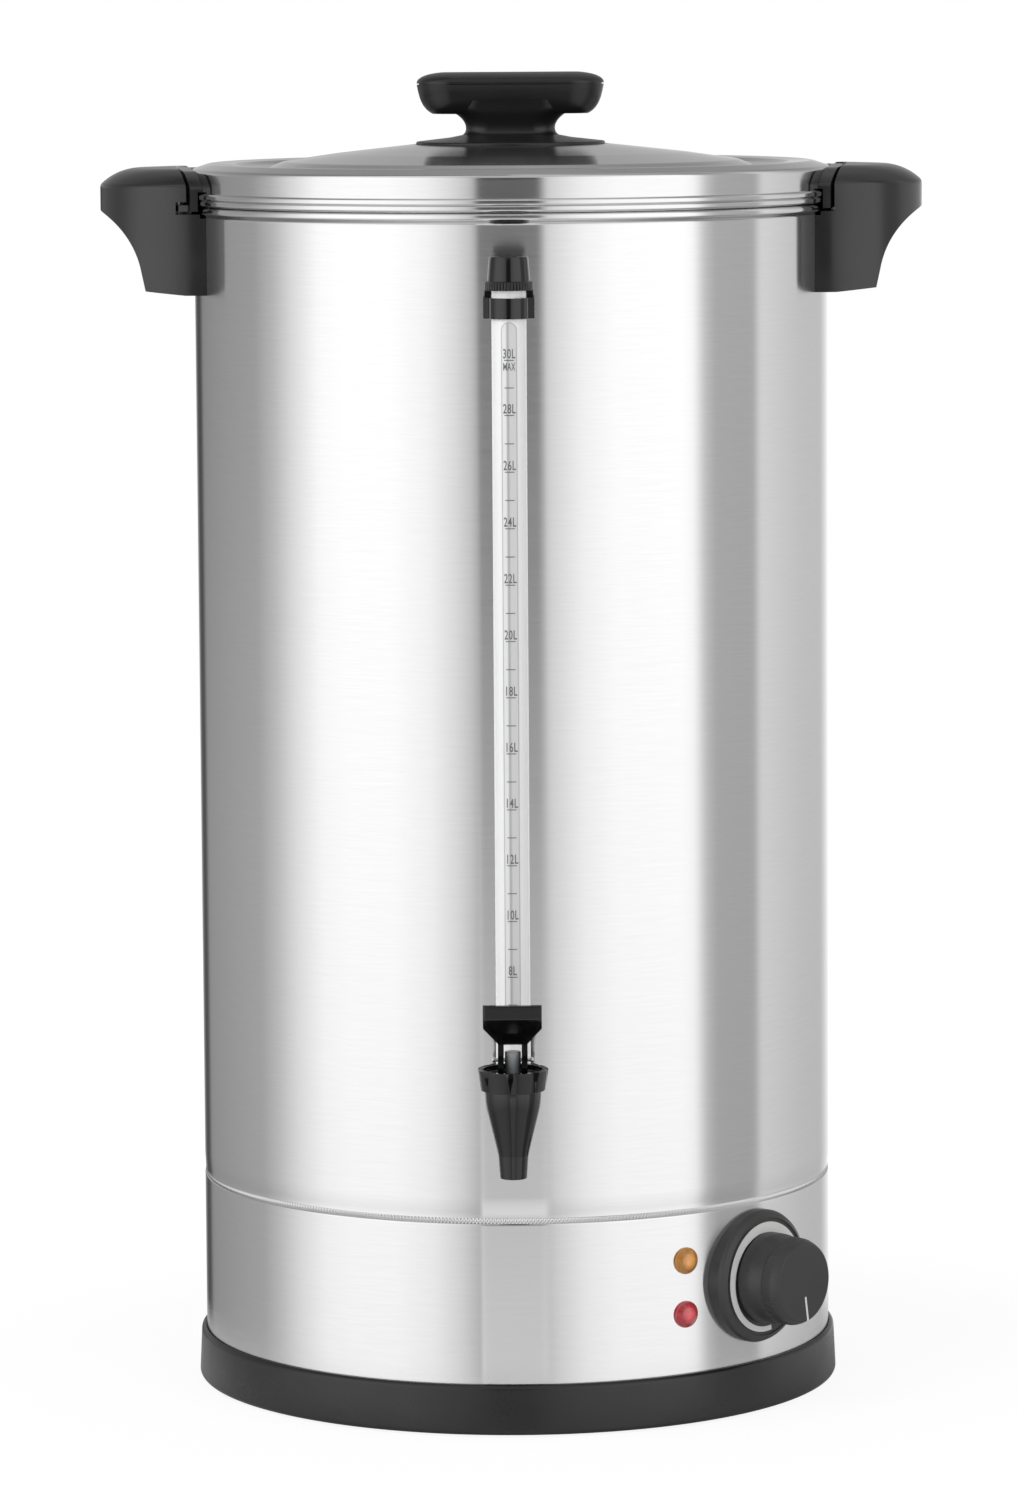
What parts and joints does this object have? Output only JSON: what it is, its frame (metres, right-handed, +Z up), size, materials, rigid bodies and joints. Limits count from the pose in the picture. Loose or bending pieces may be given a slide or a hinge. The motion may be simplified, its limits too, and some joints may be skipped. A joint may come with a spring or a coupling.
{
  "type": "hot water urn",
  "caption": "Tall steel catering urn for hot water, with a lever tap, a sight tube, a turn-lock lid, side handles, a thermostat dial and pilot lamps.",
  "frame": {"origin": "on the body's axis, at the surface that the urn stands on", "axes": "+Z up along the body's axis, -Y towards the tap, +X towards the handle on the right as seen facing the tap"},
  "size_m": [0.4046, 0.404, 0.648],
  "materials": {
    "black_plastic": "fine-grained black phenolic plastic",
    "tap_plastic": "smooth black plastic",
    "knob_plastic": "satin black plastic",
    "grey_plastic": "grey plastic",
    "white_plastic": "white plastic",
    "switch_plastic": "dark plastic",
    "red_plastic": "red plastic",
    "amber_plastic": "amber lens",
    "red_lens_plastic": "red lens",
    "pale_print": "pale printed scale",
    "scale_print": "white printed strip",
    "clear_tube": "clear tube",
    "pad_rubber": "black rubber",
    "seal_silicone": "translucent silicone",
    "wire_silicone": "silicone-insulated wire",
    "body_steel": "brushed around the body",
    "lid_steel": "finely polished stainless steel",
    "weld_steel": "rolled weld ripple",
    "floor_steel": "drawn stainless steel",
    "element_steel": "heat-tinted steel tube",
    "zinc_sheet": "zinc-plated sheet",
    "zinc_screw": "zinc-plated",
    "inner_screw": "stainless screw",
    "spring_steel": "spring wire",
    "chrome_pin": "polished pin",
    "cast_aluminium": "pressed aluminium",
    "brass_fitting": "turned brass",
    "copper_bulb": "copper capillary",
    "porcelain": "glazed ceramic"
  },
  "bodies": {
    "urn": {"base_ring": "black_plastic", "foot_pads": "pad_rubber", "base_plate": "zinc_sheet", "base_screws": "zinc_screw", "base_skirt": "body_steel", "seam_weld": "weld_steel", "tank_wall": "body_steel", "tank_floor": "floor_steel", "heat_spreader": "cast_aluminium", "heating_element": "element_steel", "heater_nut": "zinc_screw", "cutout_body": "switch_plastic", "thermostat_body": "zinc_sheet", "thermostat_nut": "brass_fitting", "sensor_bulb": "copper_bulb", "bulb_clip": "zinc_sheet", "terminal_block": "porcelain", "terminal_screws": "brass_fitting", "wiring": "wire_silicone", "earth_stud": "brass_fitting", "dial_bezel": "black_plastic", "dial_scale": "pale_print", "amber_lens": "amber_plastic", "red_lens": "red_lens_plastic", "lamp_holders": "switch_plastic", "cord_gland": "black_plastic", "gland_nut": "black_plastic", "tap_body": "tap_plastic", "tap_crown": "tap_plastic", "tap_washers": "seal_silicone", "tap_nut": "tap_plastic", "sight_tube": "clear_tube", "scale_strip": "scale_print", "tube_seal": "seal_silicone", "tube_cap": "tap_plastic", "tube_collar": "tap_plastic", "collar_screw": "inner_screw", "handle_right": "black_plastic", "handle_left": "black_plastic", "handle_screws": "inner_screw", "handle_washers": "seal_silicone"},
    "lid": {"lid_shell": "lid_steel", "lid_lug_right": "black_plastic", "lid_lug_left": "black_plastic", "lug_rivets": "inner_screw", "lid_knob_disc": "knob_plastic", "lid_knob_grip": "knob_plastic", "lid_knob_cap": "knob_plastic", "lid_knob_screw": "inner_screw"},
    "dial": {"thermostat_knob": "black_plastic", "knob_pointer": "white_plastic", "thermostat_shaft": "zinc_screw"},
    "stem": {"tap_stem": "grey_plastic", "tap_pin": "chrome_pin", "seat_cup": "seal_silicone", "tap_spring": "spring_steel"},
    "lever": {"tap_lever": "tap_plastic"},
    "reset": {"reset_button": "red_plastic", "reset_spring": "spring_steel"}
  },
  "joints": [
    {"name": "lid_turn", "type": "hinge", "parent": "urn", "child": "lid", "pos_m": [0, 0, 0.584], "axis": [0, 0, 1], "range_deg": [0, 135]},
    {"name": "dial_turn", "type": "hinge", "parent": "urn", "child": "dial", "pos_m": [0, 0, 0.0669], "axis": [0.749, -0.6626, 0], "range_deg": [-270, 0]},
    {"name": "stem_lift", "type": "slide", "parent": "urn", "child": "stem", "axis": [0, 0, 1], "range_m": [0, 0.004], "deforming": ["tap_spring"]},
    {"name": "lever_turn", "type": "hinge", "parent": "stem", "child": "lever", "pos_m": [0, -0.204, 0.1902], "axis": [1, 0, 0], "range_deg": [0, 60], "stiffness_Nm_per_rad": 0.0117, "springref_deg": -75.06},
    {"name": "reset_press", "type": "slide", "parent": "urn", "child": "reset", "axis": [0, 0, 1], "range_m": [0, 0.002], "stiffness_N_per_m": 500, "springref_m": -0.002, "deforming": ["reset_spring"]}
  ],
  "couplings": [
    {"joint": "stem_lift", "follows": "lever_turn", "m_per_rad": 0.003819}
  ]
}
